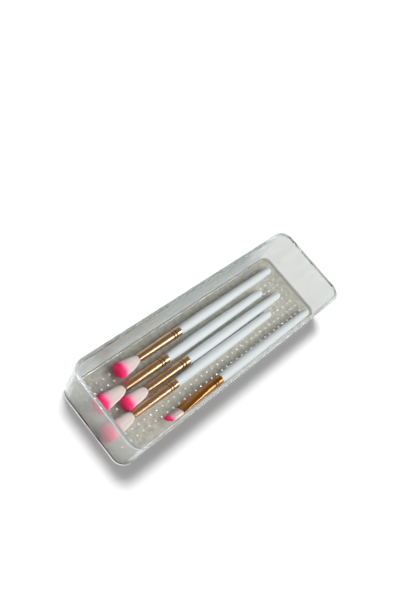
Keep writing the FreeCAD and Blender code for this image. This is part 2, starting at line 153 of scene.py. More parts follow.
class BrushTrayBrushSizes(bpy.types.PropertyGroup):
    """What the five brushes share."""

    handle_length: length_prop("Handle length", 124.95, "From the ferrule to the tail")
    shoulder: length_prop("Shoulder diameter", 8.2, "Handle and ferrule where they meet")
    belly: length_prop("Belly diameter", 8.9, "The handle's widest place")
    belly_from_shoulder: length_prop("Belly place", 22.0, "From the shoulder to the belly")
    tail: length_prop("Tail diameter", 6.8, "The handle where its tail starts to round")
    tail_round: length_prop("Tail round", 4.6, "Length of the rounded tail")
    ferrule_length: length_prop("Ferrule length", 48.0, "From its mouth to the handle")
    grip_length: length_prop("Grip length", 16.0, "The ferrule's straight end")
    mouth: length_prop("Mouth diameter", 6.8, "The ferrule where the hair comes out")
    ferrule_wall: length_prop("Ferrule wall", 0.45, "Thickness of the drawn tube")
    flat_mouth_width: length_prop("Flat mouth width", 10.0, "The pressed mouth, across")
    flat_mouth_thickness: length_prop("Flat mouth thickness", 3.6, "The pressed mouth, through")
    crimp_near: length_prop("Near crimp", 5.8, "From the shoulder to the first rolled ring")
    crimp_far: length_prop("Far crimp", 8.8, "From the shoulder to the second rolled ring")
    crimp_width: length_prop("Crimp width", 1.6, "One rolled ring")
    crimp_depth: length_prop("Crimp depth", 0.35, "How deep a ring is rolled in")
    lacquer: colour_prop("Lacquer", "ECF2F2", "The white handles")
    copper: colour_prop("Copper", "E8BC93", "The round anodised ferrules")
    # the pressed ferrule's copper is a darker copy of the round ones' colour
    flat_copper: colour_prop("Flat ferrule copper", "C9894F", "The pressed ferrule, dyed darker")
    hair_root: colour_prop("Hair root", "DFD2CD", "Undyed hair by the ferrule")
    hair_blush: colour_prop("Hair middle", "FDB2C9", "Where the dye fades out")
    hair_pink: colour_prop("Hair pink", "FF2E7B", "Dyed hair")
    # the darker ends are painted shade, for ends that face away from the lamps
    hair_end: colour_prop("Hair ends", "DA1656", "The darker dyed ends")


class BrushTrayHairSizes(bpy.types.PropertyGroup):
    """The hair heads."""

    count: IntProperty(name="Hairs", description="Hairs in a round head", default=2200, min=3)
    flat_count: IntProperty(
        name="Flat head hairs", description="Hairs in the flat head", default=1100, min=3
    )
    # a real fibre is 0.07 mm, which is far too fine to show, so a drawn hair stands for a few
    thickness: length_prop("Hair thickness", 0.26, "One drawn hair")
    bulge_at: length_prop("Bulge place", 3.5, "From the mouth to the round shoulder of the head")
    bulge_radius: length_prop("Bulge radius", 4.7, "The head's radius there")
    taper: length_prop("Taper", 0.9, "How much a round head narrows from its widest place on")
    dome: length_prop("Dome", 1.9, "How much shorter a round head's outermost hairs are")
    flat_dome: length_prop("Flat head dome", 0.8, "The same for the flat head")
    flat_bulge: length_prop("Flat head bulge", 3.6, "Its thickness at its round shoulder")
    flat_width: length_prop("Flat head width", 8.2, "Across its widest place")
    flat_thickness: length_prop("Flat head thickness", 2.4, "Through its widest place")
    flat_tip_width: length_prop("Flat head tip width", 7.6, "Across its end")
    flat_tip_thickness: length_prop("Flat head tip thickness", 1.2, "Through its end")
    slant: length_prop("Slant", 1.0, "How much longer the flat head is on one side")
    root_depth: length_prop("Root depth", 4.0, "How far the hairs reach into the ferrule")
    uneven: length_prop("Uneven length", 0.5, "How much shorter a hair may be cut")
    stray: length_prop("Stray", 0.12, "How far a hair may lean out of line at its end")
    seed: IntProperty(name="Seed", description="Start of the random draws", default=7)


class BrushTrayStageLook(bpy.types.PropertyGroup):
    """The floor the object stands on."""

    floor: colour_prop("Floor", "FBFBFB", "The pale floor")


# ---- small helpers --------------------------------------------------------------------------


def node(tree, kind, inputs=None, **settings):
    """Add a node with its settings. Each input is a value, an output that feeds it, or a node,
    which stands for the first of its outputs that is in use."""
    made = tree.nodes.new(kind)
    for name, value in settings.items():
        setattr(made, name, value)
    for key, value in (inputs or {}).items():
        if isinstance(value, bpy.types.Node):
            value = next(output for output in value.outputs if output.enabled)
        if isinstance(value, bpy.types.NodeSocket):
            tree.links.new(value, made.inputs[key])
        else:
            made.inputs[key].default_value = value
    return made


def set_stops(ramp, stops):
    """Give a colour ramp its stops, each a position and a colour."""
    elements = ramp.color_ramp.elements
    while len(elements) < len(stops):
        elements.new(0.5)
    for element, (position, colour) in zip(elements, stops):
        element.position, element.color = position, colour


def geometry_tree(name, inputs):
    """A Geometry Nodes tree with the named inputs, what adds a node to it, and its inputs."""
    tree = bpy.data.node_groups.new(name, "GeometryNodeTree")
    for label, kind in {"Geometry": "Geometry", **inputs, "Material": "Material"}.items():
        tree.interface.new_socket(label, in_out="INPUT", socket_type="NodeSocket" + kind)
    tree.interface.new_socket("Geometry", in_out="OUTPUT", socket_type="NodeSocketGeometry")
    add = partial(node, tree)
    return tree, add, add("NodeGroupInput").outputs


def finish_tree(tree, geometry, material):
    """End a Geometry Nodes tree with its material."""
    painted = node(tree, "GeometryNodeSetMaterial", {"Geometry": geometry, "Material": material})
    node(tree, "NodeGroupOutput", {"Geometry": painted})
    return tree


def new_material(name):
    """An empty node material, and what adds a node to it."""
    material = bpy.data.materials.new(name)
    material.use_nodes = True
    material.node_tree.nodes.clear()
    return material, partial(node, material.node_tree)


def mesh_from(bm, name):
    mesh = bpy.data.meshes.new(name)
    bm.to_mesh(mesh)
    bm.free()
    return mesh


def mesh_object(name, mesh):
    thing = bpy.data.objects.new(name, mesh)
    bpy.context.scene.collection.objects.link(thing)
    return thing


def brush_matrix(number):
    """From a brush's own frame (origin at the ferrule's mouth, +X to the tail) to the tray's."""
    brush = BRUSHES[number]
    yaw, pitch, roll = (math.radians(angle) for angle in brush["turn"])
    turn = Matrix.Rotation(yaw, 4, "Z") @ Matrix.Rotation(pitch, 4, "Y")
    turn = turn @ Matrix.Rotation(roll, 4, "X")
    return Matrix.Translation(Vector(brush["mouth"]) * MM) @ turn


def lay(mesh, number):
    """Keep each point's place on its brush as an attribute, then lay the mesh in its lane."""
    place = mesh.attributes.new("place_on_brush", "FLOAT_VECTOR", "POINT")
    own = [0.0] * (3 * len(mesh.vertices))
    mesh.vertices.foreach_get("co", own)
    place.data.foreach_set("vector", own)
    mesh.transform(brush_matrix(number))
    mesh.update()


def turned(name, outline, steps, closed=False):
    """Turn an outline about X. Each point is (x, half width in Y, half width in Z); an open
    outline starts and ends on the axis, a closed one makes a tube."""
    bm = bmesh.new()
    rings = []
    for x, wide, thin in outline:
        if wide < 1e-9:  # on the axis
            rings.append([bm.verts.new((x, 0, 0))])
            continue
        angles = (2 * math.pi * i / steps for i in range(steps))
        rings.append([bm.verts.new((x, wide * math.cos(a), thin * math.sin(a))) for a in angles])
    pairs = list(zip(rings, rings[1:]))
    if closed:
        pairs.append((rings[-1], rings[0]))
    for first, second in pairs:
        for i in range(steps):
            j = (i + 1) % steps
            corners = [first[i % len(first)], first[j % len(first)]]
            corners += [second[j % len(second)], second[i % len(second)]]
            unique = list(dict.fromkeys(corners))
            if len(unique) > 2:
                bm.faces.new(unique)
    bmesh.ops.recalc_face_normals(bm, faces=bm.faces)
    for face in bm.faces:
        face.smooth = True
    mesh = mesh_from(bm, name)
    mesh.set_sharp_from_angle(angle=math.radians(25))
    return mesh


def arc(centre, start, end, steps):
    """Points (x, r) along the arc about a centre from start to end, both included."""
    radius = math.hypot(start[0] - centre[0], start[1] - centre[1])
    begin = math.atan2(start[1] - centre[1], start[0] - centre[0])
    finish = math.atan2(end[1] - centre[1], end[0] - centre[0])
    return [
        (centre[0] + radius * math.cos(a), centre[1] + radius * math.sin(a))
        for a in (begin + (finish - begin) * i / steps for i in range(steps + 1))
    ]


def arc_with_centre_on(x, start, end, steps):
    """The arc between two outline points whose centre stands on the line at x."""
    lift = (start[0] - x) ** 2 + start[1] ** 2 - (end[0] - x) ** 2 - end[1] ** 2
    return arc((x, lift / (2 * (start[1] - end[1]))), start, end, steps)


def round_corner(before, corner, after, radius, steps, support):
    """A 2-D corner rounded by an arc, with a support point just outside each end."""
    before, corner, after = Vector(before), Vector(corner), Vector(after)
    back, on = (before - corner).normalized(), (after - corner).normalized()
    half = back.angle(on) / 2
    cut = radius / math.tan(half)
    centre = corner + (back + on).normalized() * (radius / math.sin(half))
    first, last = corner + back * cut, corner + on * cut
    start, sweep = first - centre, (first - centre).angle_signed(last - centre)
    points = [first + back * support]
    for i in range(steps + 1):
        # angle_signed counts clockwise, and Matrix.Rotation anticlockwise
        points.append(centre + Matrix.Rotation(-sweep * i / steps, 2) @ start)
    return points + [last + on * support]


# ---- the tray -------------------------------------------------------------------------------


def polystyrene(sizes):
    """Clear polystyrene, injection moulded: glossy and of a high index, so that its rounds draw
    bright and dark lines. It has faint flow waves and a rippled floor, and painted light: a
    painted dark line along the walls' foot, a painted highlight along the rim, and painted glints
    and shade on its dots."""
    material, add = new_material("clear_moulded_polystyrene")
    place = add("ShaderNodeTexCoord").outputs["Object"]
    height = add("ShaderNodeSeparateXYZ", {0: place}).outputs["Z"]
    dot = add("ShaderNodeAttribute", attribute_name="dot").outputs["Fac"]
    # faint flow waves about 14 mm apart, left where the melt cooled against the mould
    waves = add("ShaderNodeTexNoise", {"Vector": place, "Scale": 70.0, "Detail": 1.0})
    bump = add("ShaderNodeBump", {"Height": waves, "Strength": 0.12, "Distance": 0.0004})
    # fine ripples about 4 mm across in the floor, from the textured foot of the mould
    grain = add("ShaderNodeTexNoise", {"Vector": place, "Scale": 260.0, "Detail": 2.0})
    patches = add("ShaderNodeMapRange", {0: grain, 1: 0.4, 2: 0.62})
    rippled = add(
        "ShaderNodeMix",
        {0: patches, COLOUR_A: tuple(sizes.floor_tint), COLOUR_B: srgb("B3B1A6")},
        data_type="RGBA",
    )
    # a painted highlight: the rim is painted whiter and milkier in patches about 9 mm long
    rim_highlight_noise = add("ShaderNodeTexNoise", {"Vector": place, "Scale": 110.0, "Detail": 3.0})
    wear_and_highlight_patches = add("ShaderNodeMapRange", {0: rim_highlight_noise, 1: 0.35, 2: 0.65, 3: 0.03, 4: 0.28})
    # what tints the plastic besides its walls' own tint: what it depends on, where it begins
    # and is full, how strong it is there, and its colour
    floor, rim = sizes.floor, sizes.height
    tint, amounts = tuple(sizes.tint), {}
    for name, by, begins, full, strength, colour in (
        # painted shade: a dark line painted along the round where the walls meet the floor, for
        # the light that round turns away
        ("round", height, floor + 2.2 * MM, floor + 1.4 * MM, 1.0, srgb("6C706C")),
        # the floor looks a little warmer and darker than the walls, which are drawn thinner
        ("floor", height, floor + 0.5 * MM, floor + 0.05 * MM, 1.0, rippled),
        # each dot has painted shade round its foot, where it bends light away, and a painted glint
        # on its top
        ("dot_painted_shade", dot, 0.0, 0.12, 0.9, srgb("827C70")),
        ("dot_painted_glint", dot, 0.15, 0.3, 1.0, srgb("E9E7DF")),
        # a painted highlight along the top of the rim
        ("rim_painted_highlight", height, rim - 0.9 * MM, rim - 0.3 * MM, wear_and_highlight_patches, srgb("F2F5F5")),
    ):
        amounts[name] = add("ShaderNodeMapRange", {0: by, 1: begins, 2: full, 3: 0.0, 4: strength})
        tint = add(
            "ShaderNodeMix", {0: amounts[name], COLOUR_A: tint, COLOUR_B: colour}, data_type="RGBA"
        )
    # the painted glints on the dots and the painted rim highlight are milky, and let less through
    painted_glint_and_highlight = add(
        "ShaderNodeMath", {0: amounts["dot_painted_glint"], 1: amounts["rim_painted_highlight"]}, operation="MAXIMUM"
    )
    clearness = add("ShaderNodeMapRange", {0: painted_glint_and_highlight, 3: 1.0, 4: 0.1})
    plastic = add(
        "ShaderNodeBsdfPrincipled",
        {
            "Base Color": tint, "Roughness": 0.02, "IOR": 1.59,
            "Transmission Weight": clearness, "Normal": bump,
        },
    )
    # lamps shine through: well where the plastic lies flat, less where it stands and turns
    # their light aside, as along the walls and round each dot
    facing = add("ShaderNodeNewGeometry").outputs["True Normal"]
    upright = add("ShaderNodeSeparateXYZ", {0: facing}).outputs["Z"]
    flat = add("ShaderNodeMath", {0: upright}, operation="ABSOLUTE")
    clear = add("ShaderNodeMapRange", {0: flat, 1: 0.3, 2: 1.0})
    shade = add(
        "ShaderNodeMix", {0: clear, COLOUR_A: srgb("A8A8A8"), COLOUR_B: srgb("F6F6F6")},
        data_type="RGBA",
    )
    passing = add("ShaderNodeBsdfTransparent", {"Color": shade})
    # light that has bounced inside a wall leaves it at its next side, so that edges stay bright
    leaving = add("ShaderNodeBsdfTransparent", {"Color": srgb("E6EAEA")})
    path = add("ShaderNodeLightPath").outputs
    # light seen through a side counts as glossy too, so the plastic comes back after "leaving"
    surface = plastic
    for ray, way in (
        ("Is Glossy Ray", leaving), ("Is Transmission Ray", plastic),
        ("Is Diffuse Ray", passing), ("Is Shadow Ray", passing),
    ):
        surface = add("ShaderNodeMixShader", {0: path[ray], 1: surface, 2: way})
    add("ShaderNodeOutputMaterial", {"Surface": surface})
    return material


def tray_outline(sizes, inset, steps):
    """The tray's outline, anticlockwise, at a distance in from the rim's outside: a rounded
    rectangle, with support points beside each tangent."""
    half_x, half_y = sizes.length / 2 - inset, sizes.width / 2 - inset
    radius, support = sizes.corner - inset, 0.4 * MM
    points = []
    for quarter, (side_x, side_y) in enumerate(((1, 1), (-1, 1), (-1, -1), (1, -1))):
        centre = Vector((side_x * (half_x - radius), side_y * (half_y - radius)))
        angles = [math.pi / 2 * (quarter + i / steps) for i in range(steps + 1)]
        on_arc = [centre + radius * Vector((math.cos(a), math.sin(a))) for a in angles]
        start = Vector((-math.sin(angles[0]), math.cos(angles[0])))
        end = Vector((-math.sin(angles[-1]), math.cos(angles[-1])))
        points += [on_arc[0] - start * support, *on_arc, on_arc[-1] + end * support]
    return points


def tray_profile(sizes):
    """The wall's outline as (distance in from the rim's outside, height), base to inner floor."""
    lean = math.tan(sizes.draft)
    foot = (sizes.height * lean, 0.0)
    inner_foot = (sizes.wall + (sizes.height - sizes.floor) * lean, sizes.floor)
    # both ends run on a little way under the base and over the floor
    start, end = (foot[0] + 7 * MM, 0.0), (inner_foot[0] + 4 * MM, sizes.floor)
    corners = [
        (foot, sizes.foot_round), ((0.0, sizes.height), sizes.rim_round),
        ((sizes.wall, sizes.height), sizes.rim_round), (inner_foot, sizes.inner_round),
    ]
    places = [start, *(place for place, _ in corners), end]
    profile = [Vector(start)]
    for i, (place, radius) in enumerate(corners, start=1):
        profile += round_corner(
            places[i - 1], place, places[i + 1], radius, steps=6, support=0.15 * MM
        )
    return profile


# a tile's square edge has a vertex at its corners, its middle and where its spokes meet it
SPOKES = 16
EDGE_SHARES = (-1.0, -math.tan(math.pi / 8), 0.0, math.tan(math.pi / 8))


def dot_tile(sizes):
    """One tile of the floor: a low dome in the middle of a flat square."""
    bm = bmesh.new()
    angles = [2 * math.pi * i / SPOKES for i in range(SPOKES)]
    radius, height = sizes.dot_diameter / 2, sizes.dot_height
    rings = []
    # rings round the dome, closer together where it falls off
    for share in (0.4, 0.75, 1.0):
        up = height * (1 - share * share)
        rings.append([
            bm.verts.new((radius * share * math.cos(a), radius * share * math.sin(a), up))
            for a in angles
        ])
    edge = []
    for a in angles:
        reach = max(abs(math.cos(a)), abs(math.sin(a)))
        edge.append(bm.verts.new((
            math.cos(a) / reach * sizes.dot_pitch_along / 2,
            math.sin(a) / reach * sizes.dot_pitch_across / 2,
            0.0,
        )))
    rings.append(edge)
    top = bm.verts.new((0, 0, height))
    for i in range(SPOKES):
        j = (i + 1) % SPOKES
        bm.faces.new((top, rings[0][i], rings[0][j])).smooth = True
        for inner, outer in zip(rings, rings[1:]):
            face = bm.faces.new((inner[i], outer[i], outer[j], inner[j]))
            face.smooth = outer is not edge
    mesh = mesh_from(bm, "dot_tile")
    # 1 on top of the dot, falling to 0 at its foot, for the plastic to read: it paints a glint on
    # top and shade round the foot
    dot = mesh.attributes.new("dot", "FLOAT", "POINT")
    for vertex, value in zip(mesh.vertices, dot.data):
        value.value = max(0.0, 1 - vertex.co.xy.length / radius)
    return mesh


def grid_edge(sizes):
    """The outline of the tiled part of the floor, with every vertex that the tiles have there."""
    half_x = sizes.dot_columns * sizes.dot_pitch_along / 2
    half_y = sizes.dot_rows * sizes.dot_pitch_across / 2

    def side(count, pitch, half):
        middles = [(i + 0.5) * pitch - half for i in range(count)]
        return [middle + share * pitch / 2 for middle in middles for share in EDGE_SHARES]

    along = side(sizes.dot_columns, sizes.dot_pitch_along, half_x)
    across = side(sizes.dot_rows, sizes.dot_pitch_across, half_y)
    return (
        [Vector((x, -half_y)) for x in along] + [Vector((half_x, y)) for y in across]
        + [Vector((-x, half_y)) for x in along] + [Vector((-half_x, -y)) for y in across]
    )


def tray_shell(sizes):
    """The tray without the tiled part of its floor."""
    bm = bmesh.new()
    rings = []
    for inset, up in tray_profile(sizes):
        outline = tray_outline(sizes, inset, steps=14)
        rings.append([bm.verts.new((p.x, p.y, up)) for p in outline])
    count = len(rings[0])
    for first, second in zip(rings, rings[1:]):
        for i in range(count):
            j = (i + 1) % count
            bm.faces.new((first[i], first[j], second[j], second[i])).smooth = True
    bm.faces.new(list(reversed(rings[0])))
    inner = [bm.verts.new((p.x, p.y, sizes.floor)) for p in grid_edge(sizes)]
    loops = [[v.co.copy() for v in rings[-1]], [v.co.copy() for v in inner]]
    flat = rings[-1] + inner
    for triangle in tessellate_polygon(loops):
        face = bm.faces.new([flat[i] for i in triangle])
        face.normal_update()
        if face.normal.z < 0:
            face.normal_flip()
    return mesh_from(bm, "tray_shell")


def floor_tiles_tree():
    """Geometry Nodes: fill the open floor with dot tiles and weld them to the shell."""
    tree, add, given = geometry_tree("dotted_floor", {
        "Tile": "Object", "Columns": "Int", "Rows": "Int", "Pitch Along": "Float",
        "Pitch Across": "Float", "Floor Level": "Float", "Weld Distance": "Float",
    })
    reach = []
    for count, pitch in (("Columns", "Pitch Along"), ("Rows", "Pitch Across")):
        gaps = add("ShaderNodeMath", {0: given[count], 1: 1.0}, operation="SUBTRACT")
        reach.append(add("ShaderNodeMath", {0: gaps, 1: given[pitch]}, operation="MULTIPLY"))
    grid = add(
        "GeometryNodeMeshGrid",
        {
            "Size X": reach[0], "Size Y": reach[1],
            "Vertices X": given["Columns"], "Vertices Y": given["Rows"],
        },
    )
    lift = add("ShaderNodeCombineXYZ", {"Z": given["Floor Level"]})
    raised = add("GeometryNodeSetPosition", {"Geometry": grid, "Offset": lift})
    tile = add("GeometryNodeObjectInfo", {"Object": given["Tile"]}).outputs["Geometry"]
    tiles = add("GeometryNodeInstanceOnPoints", {"Points": raised, "Instance": tile})
    real = add("GeometryNodeRealizeInstances", {"Geometry": tiles})
    joined = add("GeometryNodeJoinGeometry", {"Geometry": real})
    tree.links.new(given["Geometry"], joined.inputs[0])
    welded = add(
        "GeometryNodeMergeByDistance", {"Geometry": joined, "Distance": given["Weld Distance"]}
    )
    return finish_tree(tree, welded, given["Material"])


def grow(thing, tree, values):
    """Run a Geometry Nodes tree on an object and keep its result as a plain mesh."""
    modifier = thing.modifiers.new(tree.name, "NODES")
    modifier.node_group = tree
    for item in tree.interface.items_tree:
        if item.in_out == "INPUT" and item.name in values:
            modifier[item.identifier] = values[item.name]
    bpy.context.view_layer.update()
    evaluated = thing.evaluated_get(bpy.context.evaluated_depsgraph_get())
    made = bpy.data.meshes.new_from_object(evaluated)
    made.name = thing.name
    thing.modifiers.remove(modifier)
    thing.data = made
    return thing


class BRUSHTRAY_OT_tray(bpy.types.Operator):
    """Make the clear tray, with its dotted floor in one piece with it"""

    bl_idname = "brushtray.tray"
    bl_label = "Clear tray"

    def execute(self, context):
        sizes = context.scene.brush_tray_tray
        plastic = polystyrene(sizes)
        tray = mesh_object("clear_tray", tray_shell(sizes))
        tile = mesh_object("dot_tile", dot_tile(sizes))
        tile.data.materials.append(plastic)
        tray.data.materials.append(plastic)
        grow(tray, floor_tiles_tree(), {
            "Tile": tile, "Columns": sizes.dot_columns, "Rows": sizes.dot_rows,
            "Pitch Along": sizes.dot_pitch_along, "Pitch Across": sizes.dot_pitch_across,
            "Floor Level": sizes.floor, "Weld Distance": 0.01 * MM, "Material": plastic,
        })
        bpy.data.objects.remove(tile)
        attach(tray, "tray")
        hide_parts("tray")
        return {"FINISHED"}


# ---- handles --------------------------------------------------------------------------------


def white_lacquer(sizes):
    """Turned birch under sprayed white lacquer: glossy, with a trace of orange peel."""
    material, add = new_material("white_lacquered_birch")
    place = add("ShaderNodeAttribute", attribute_name="place_on_brush").outputs["Vector"]
    # orange peel: dimples about 1.2 mm across that the spray leaves as it flows out
    peel = add("ShaderNodeTexNoise", {"Vector": place, "Scale": 800.0, "Detail": 1.0})
    # birch grain shows through as faint lines along the handle, about 0.7 mm apart
    stretch = add("ShaderNodeMapping", {"Vector": place, "Scale": (60.0, 1400.0, 1400.0)})
    grain = add("ShaderNodeTexNoise", {"Vector": stretch, "Scale": 1.0, "Detail": 2.0})
    relief = add("ShaderNodeMath", {0: grain, 1: 0.6, 2: peel}, operation="MULTIPLY_ADD")
    bump = add("ShaderNodeBump", {"Height": relief, "Strength": 0.08, "Distance": 0.00005})
    # the coat is a touch thinner and greyer along the grain
    shade = add(
        "ShaderNodeMix",
        {0: grain, COLOUR_A: tuple(sizes.lacquer), COLOUR_B: srgb("E5ECEE")}, data_type="RGBA",
    )
    lacquer = add(
        "ShaderNodeBsdfPrincipled",
        {
            "Base Color": shade, "Roughness": 0.28, "IOR": 1.5, "Coat Weight": 0.6,
            "Coat Roughness": 0.08, "Normal": bump,
        },
    )
    add("ShaderNodeOutputMaterial", {"Surface": lacquer})
    return material


def handle_outline(sizes):
    """From the shoulder, over the belly, to the rounded tail, as (x, r) from the shoulder."""
    belly_x, end = sizes.belly_from_shoulder, sizes.handle_length
    tail_x = end - sizes.tail_round
    edge = 0.15 * MM
    shoulder, belly, tail = sizes.shoulder / 2, sizes.belly / 2, sizes.tail / 2
    points = [(0.0, 0.0), (0.0, shoulder - 2 * edge), (0.0, shoulder - edge)]
    points += [(0.3 * edge, shoulder - 0.3 * edge)]
    points += arc_with_centre_on(belly_x, (edge, shoulder), (belly_x, belly), steps=10)
    # from the belly the line falls slowly, then faster, as a lathe tool leaves it
    fall, drop, steps = tail_x - belly_x, belly - tail, 24
    points += [
        (belly_x + fall * i / steps, belly - drop * (i / steps) ** 2) for i in range(1, steps)
    ]
    points += arc_with_centre_on(tail_x, (tail_x, tail), (end, 0.0), steps=12)
    return points


class BRUSHTRAY_OT_handles(bpy.types.Operator):
    """Make the five lacquered handles"""

    bl_idname = "brushtray.handles"
    bl_label = "Handles"

    def execute(self, context):
        sizes = context.scene.brush_tray_brush
        lacquer = white_lacquer(sizes)
        outline = handle_outline(sizes)
        for number in BRUSHES:
            shifted = [(x + sizes.ferrule_length, r, r) for x, r in outline]
            mesh = turned("handle_%d" % number, shifted, steps=48)
            mesh.materials.append(lacquer)
            lay(mesh, number)
            handle = mesh_object("handle_%d" % number, mesh)
            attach(handle, "brush_%d" % number)
            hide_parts("brush_%d_handle" % number)
        return {"FINISHED"}


# ---- ferrules -------------------------------------------------------------------------------


def copper_aluminium(name, sizes, dye):
    """Anodised aluminium, drawn and dyed copper: bright, with faint drawing lines along it, and
    painted shade in the grooves of its rolled rings.
    """
    material, add = new_material(name)
    place = add("ShaderNodeAttribute", attribute_name="place_on_brush").outputs["Vector"]
    # drawing lines run along the tube, about 0.35 mm apart
    stretch = add("ShaderNodeMapping", {"Vector": place, "Scale": (40.0, 2800.0, 2800.0)})
    lines = add("ShaderNodeTexNoise", {"Vector": stretch, "Scale": 1.0, "Detail": 2.0})
    # rubbed patches about 6 mm long, where the dye has dulled a little
    wear_and_highlight_patches = add("ShaderNodeTexNoise", {"Vector": place, "Scale": 160.0, "Detail": 2.0})
    dull = [channel * 0.85 for channel in dye[:3]] + [1.0]
    colour = add("ShaderNodeMix", {0: wear_and_highlight_patches, COLOUR_A: dye, COLOUR_B: dull}, data_type="RGBA")
    # the grooves of the two rolled rings are painted darker: painted shade
    along = add("ShaderNodeSeparateXYZ", {0: place}).outputs["X"]
    for crimp in (sizes.crimp_near, sizes.crimp_far):
        away = add(
            "ShaderNodeMath", {0: along, 1: sizes.ferrule_length - crimp}, operation="SUBTRACT"
        )
        away = add("ShaderNodeMath", {0: away}, operation="ABSOLUTE")
        groove = add("ShaderNodeMapRange", {0: away, 1: 0.2 * MM, 2: 0.7 * MM, 3: 0.7, 4: 0.0})
        colour = add(
            "ShaderNodeMix", {0: groove, COLOUR_A: colour, COLOUR_B: srgb("5E3D1F")},
            data_type="RGBA",
        )
    roughness = add("ShaderNodeMapRange", {0: wear_and_highlight_patches, 1: 0.3, 2: 0.7, 3: 0.28, 4: 0.32})
    bump = add("ShaderNodeBump", {"Height": lines, "Strength": 0.03, "Distance": 0.00002})
    metal = add(
        "ShaderNodeBsdfPrincipled",
        {"Base Color": colour, "Metallic": 1.0, "Roughness": roughness, "Normal": bump},
    )
    add("ShaderNodeOutputMaterial", {"Surface": metal})
    return material


def ferrule_outline(sizes, flat):
    """A closed tube outline, (x, half width, half thickness), along the outside and back."""
    length, wall = sizes.ferrule_length, sizes.ferrule_wall
    grip = length - sizes.grip_length
    shoulder = sizes.shoulder / 2
    if flat:
        mouth = (sizes.flat_mouth_width / 2, sizes.flat_mouth_thickness / 2)
    else:
        mouth = (sizes.mouth / 2, sizes.mouth / 2)

    def ring(x, at, less):
        """A ring of the outline at x: as wide as the tube's outside at a place, less a part."""
        share = min(1.0, at / grip)
        halves = [m + (shoulder - m) * share for m in mouth]
        for centre in (length - sizes.crimp_near, length - sizes.crimp_far):
            away = abs(at - centre) / (sizes.crimp_width / 2)
            if away < 1:
                groove = sizes.crimp_depth * (1 + math.cos(math.pi * away)) / 2
                halves = [half - groove for half in halves]
        return (x, *(half - less for half in halves))

    # a few places along the cone, and many along the two rolled rings
    tip_round, lip = 0.2 * MM, wall * 0.3
    stations = [tip_round + (grip - tip_round) * i / 12 for i in range(13)]
    start = length - sizes.crimp_far - sizes.crimp_width * 0.75
    stop = length - sizes.crimp_near + sizes.crimp_width * 0.75
    stations += [start + (stop - start) * i / 36 for i in range(37)]
    stations += [length - tip_round]
    return [
        ring(tip_round * 0.3, 0.0, 0.12 * lip), *(ring(x, x, 0.0) for x in stations),
        ring(length, length, lip), ring(length, length, wall),
        *(ring(x, x, wall) for x in reversed(stations[::3])),
        ring(0.0, 0.0, wall - 0.3 * lip), ring(0.0, 0.0, lip),
    ]


class BRUSHTRAY_OT_ferrules(bpy.types.Operator):
    """Make the four round ferrules and the one whose mouth is pressed flat"""

    bl_idname = "brushtray.ferrules"
    bl_label = "Ferrules"

    def execute(self, context):
        sizes = context.scene.brush_tray_brush
        light = copper_aluminium("copper_anodised_aluminium", sizes, tuple(sizes.copper))
        # the pressed ferrule takes the darker copy of the copper colour
        dark = copper_aluminium("bronze_anodised_aluminium", sizes, tuple(sizes.flat_copper))
        for number in BRUSHES:
            outline = ferrule_outline(sizes, number == FLAT_BRUSH)
            mesh = turned("ferrule_%d" % number, outline, steps=56, closed=True)
            mesh.materials.append(dark if number == FLAT_BRUSH else light)
            lay(mesh, number)
            ferrule = mesh_object("ferrule_%d" % number, mesh)
            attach(ferrule, "brush_%d" % number)
            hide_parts("brush_%d_ferrule" % number)
        return {"FINISHED"}


# ---- hair -----------------------------------------------------------------------------------


def dyed_fibre(sizes):
    """Nylon fibre, dip-dyed: white at the root, fading through blush into pink, with darker ends
    that are painted shade.
    """
    material, add = new_material("dip_dyed_nylon_fibre")
    along = add("ShaderNodeAttribute", attribute_name="root_to_tip").outputs["Fac"]
    own = add("ShaderNodeAttribute", attribute_name="hair_tone").outputs["Fac"]
    # each hair takes the dye a little higher or lower than the next
    edge = add("ShaderNodeMath", {0: own, 1: 0.07, 2: along}, operation="MULTIPLY_ADD")
    ramp = add("ShaderNodeValToRGB", {"Fac": edge})
    # the last stop darkens the ends: painted shade
    set_stops(ramp, (
        (0.0, tuple(sizes.hair_root)), (0.50, tuple(sizes.hair_root)),
        (0.66, tuple(sizes.hair_blush)), (0.80, tuple(sizes.hair_pink)),
        (0.92, tuple(sizes.hair_pink)), (0.98, tuple(sizes.hair_end)),
    ))
    fibre = add(
        "ShaderNodeBsdfPrincipled",
        {
            "Base Color": ramp, "Roughness": 0.5, "IOR": 1.53,
            "Sheen Weight": 0.1, "Sheen Roughness": 0.4,
        },
    )
    add("ShaderNodeOutputMaterial", {"Surface": fibre})
    return material


